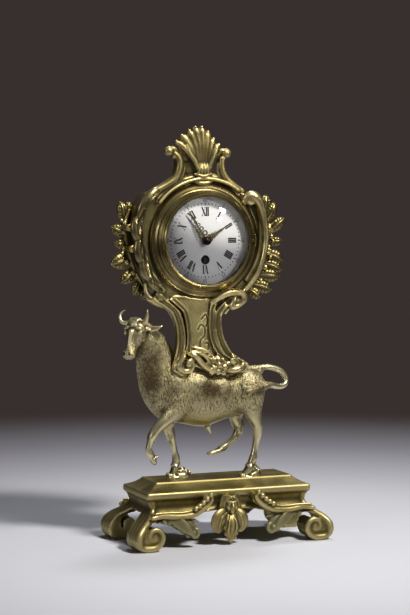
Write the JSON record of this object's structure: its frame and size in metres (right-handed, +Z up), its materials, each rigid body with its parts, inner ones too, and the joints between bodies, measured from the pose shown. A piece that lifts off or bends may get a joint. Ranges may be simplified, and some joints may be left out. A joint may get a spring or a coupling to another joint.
{
  "type": "figural mantel clock",
  "caption": "Figural mantel clock: a striding bull on a scroll-footed base carries a rococo cartouche with a round drum clock.",
  "frame": {"origin": "centre of the base's scroll feet on the surface that the clock stands on", "axes": "+Z up, -Y towards the viewer (the dial's side), +X to the viewer's right"},
  "size_m": [0.1453, 0.072, 0.2804],
  "materials": {
    "gilt_brass": "cast, gilded and aged, burnished on the high points",
    "brass": "turned and lacquered",
    "steel": "polished steel",
    "blued_steel": "blued spring steel",
    "glass": "domed clear glass",
    "enamel": "glossy white fired enamel on copper",
    "copper": "plain copper",
    "dark_brass": "dark lacquered brass"
  },
  "bodies": {
    "case": {"base": "gilt_brass", "apron_scrolls": "gilt_brass", "apron_mask": "gilt_brass", "bull": "gilt_brass", "bull_studs": "brass", "bull_nuts": "brass", "saddle_stud": "steel", "cartouche": "gilt_brass", "shell_crest": "gilt_brass", "foliage_left": "gilt_brass", "foliage_right": "gilt_brass", "ornament_screws": "brass", "drum_case": "brass", "drum_screws": "steel", "bezel_hinge_pin": "gilt_brass", "rear_hinge_pin": "steel", "dial": "enamel", "dial_feet": "copper", "minute_wheel_post": "steel", "front_plate": "brass", "back_plate": "brass", "pillars": "brass", "pillar_screws": "steel", "movement_screws": "steel", "click_screw": "steel", "click_spring": "blued_steel", "hairspring": "blued_steel", "balance_cock": "brass", "cock_screw": "steel"},
    "bezel": {"bezel": "gilt_brass", "bezel_glass": "glass"},
    "rear_cover": {"rear_cover": "brass"},
    "minute_hand": {"cannon_pinion": "steel", "minute_hand": "gilt_brass", "hand_nut": "dark_brass"},
    "hour_hand": {"hour_wheel": "brass", "hour_hand": "gilt_brass"},
    "minute_wheel": {"minute_wheel": "brass"},
    "barrel": {"barrel": "brass", "barrel_cover": "brass", "mainspring": "steel"},
    "winding_arbor": {"barrel_arbor": "steel", "ratchet_wheel": "steel"},
    "click": {"click": "steel"},
    "intermediate_wheel": {"intermediate_wheel": "brass"},
    "center_wheel": {"center_wheel": "brass"},
    "third_wheel": {"third_wheel": "brass"},
    "fourth_wheel": {"fourth_wheel": "brass"},
    "escape_wheel": {"escape_wheel": "brass"},
    "pallet_lever": {"pallet_lever": "steel"},
    "balance": {"balance_wheel": "brass"},
    "regulator": {"regulator": "steel"}
  },
  "joints": [
    {"name": "bezel_opening", "type": "hinge", "parent": "case", "child": "bezel", "pos_m": [0.0223, -0.01315, 0.2025], "axis": [0, 0, 1], "range_deg": [0, 110]},
    {"name": "rear_cover_opening", "type": "hinge", "parent": "case", "child": "rear_cover", "pos_m": [-0.0463, 0.0226, 0.2025], "axis": [0, 0, 1], "range_deg": [0, 105]},
    {"name": "minute_hand_turn", "type": "hinge", "parent": "case", "child": "minute_hand", "pos_m": [-0.013, 0, 0.2025], "axis": [0, 1, 0], "continuous": true},
    {"name": "minute_wheel_turn", "type": "hinge", "parent": "case", "child": "minute_wheel", "pos_m": [-0.01841, 0, 0.20447], "axis": [0, 1, 0], "continuous": true},
    {"name": "hour_hand_turn", "type": "hinge", "parent": "case", "child": "hour_hand", "pos_m": [-0.013, 0, 0.2025], "axis": [0, 1, 0], "continuous": true},
    {"name": "winding", "type": "hinge", "parent": "case", "child": "winding_arbor", "pos_m": [-0.013, 0, 0.1896], "axis": [0, 1, 0], "continuous": true},
    {"name": "click_lift", "type": "hinge", "parent": "case", "child": "click", "pos_m": [-0.0056, 0, 0.1874], "axis": [0, 1, 0], "range_deg": [0, 12]},
    {"name": "escape_turn", "type": "hinge", "parent": "case", "child": "escape_wheel", "pos_m": [-0.0102, 0, 0.21445], "axis": [0, 1, 0], "continuous": true},
    {"name": "fourth_turn", "type": "hinge", "parent": "case", "child": "fourth_wheel", "pos_m": [-0.01674, 0, 0.2133], "axis": [0, 1, 0], "continuous": true},
    {"name": "third_turn", "type": "hinge", "parent": "case", "child": "third_wheel", "pos_m": [-0.02048, 0, 0.20682], "axis": [0, 1, 0], "continuous": true},
    {"name": "center_turn", "type": "hinge", "parent": "case", "child": "center_wheel", "pos_m": [-0.013, 0, 0.2025], "axis": [0, 1, 0], "continuous": true},
    {"name": "intermediate_turn", "type": "hinge", "parent": "case", "child": "intermediate_wheel", "pos_m": [-0.00488, 0, 0.19924], "axis": [0, 1, 0], "continuous": true},
    {"name": "barrel_turn", "type": "hinge", "parent": "case", "child": "barrel", "pos_m": [-0.013, 0, 0.1896], "axis": [0, 1, 0], "continuous": true},
    {"name": "balance_swing", "type": "hinge", "parent": "case", "child": "balance", "pos_m": [-0.00011, 0, 0.21533], "axis": [0, 1, 0], "range_deg": [-20, 20]},
    {"name": "lever_rock", "type": "hinge", "parent": "case", "child": "pallet_lever", "pos_m": [-0.00569, 0, 0.21485], "axis": [0, 1, 0], "range_deg": [-8.8, 8.8]},
    {"name": "regulator_set", "type": "hinge", "parent": "case", "child": "regulator", "pos_m": [-0.00011, 0, 0.21533], "axis": [0, 1, 0], "range_deg": [-20, 20]}
  ],
  "couplings": [
    {"joint": "minute_wheel_turn", "follows": "minute_hand_turn", "ratio": -0.33333},
    {"joint": "hour_hand_turn", "follows": "minute_hand_turn", "ratio": 0.083333},
    {"joint": "fourth_turn", "follows": "escape_turn", "ratio": -0.10667},
    {"joint": "third_turn", "follows": "escape_turn", "ratio": 0.014222},
    {"joint": "center_turn", "follows": "escape_turn", "ratio": -0.0017778},
    {"joint": "intermediate_turn", "follows": "escape_turn", "ratio": 0.0002963},
    {"joint": "barrel_turn", "follows": "escape_turn", "ratio": -0.000037037},
    {"joint": "lever_rock", "follows": "balance_swing", "ratio": -0.436}
  ]
}
